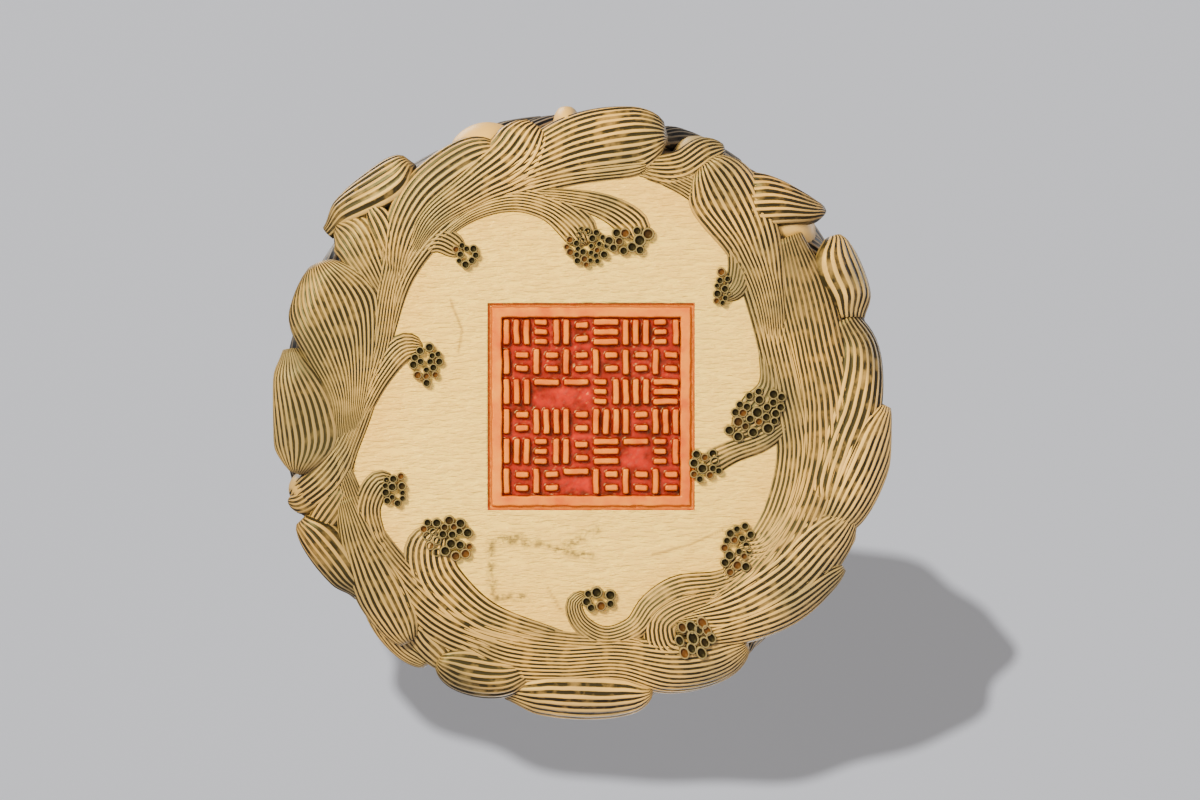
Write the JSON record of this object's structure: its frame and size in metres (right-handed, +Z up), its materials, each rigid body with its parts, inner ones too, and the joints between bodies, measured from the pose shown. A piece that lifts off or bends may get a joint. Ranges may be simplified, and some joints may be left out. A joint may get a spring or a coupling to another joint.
{
  "type": "carved ivory statue",
  "caption": "Standing robed figure with joined hands on a lotus and a round base of rolling waves, carved in one piece of ivory, with a square red seal cut into the underside.",
  "frame": {"origin": "under the middle of the base, in the plane of the wave crests that it stands on", "axes": "+Z up through the figure, front towards -Y, +X to the right seen from the front"},
  "size_m": [0.1288, 0.1282, 0.5],
  "materials": {
    "ivory": "polished ivory with dark stain in the cut lines"
  },
  "bodies": {
    "root": {"ivory_statue": "ivory"}
  },
  "joints": []
}
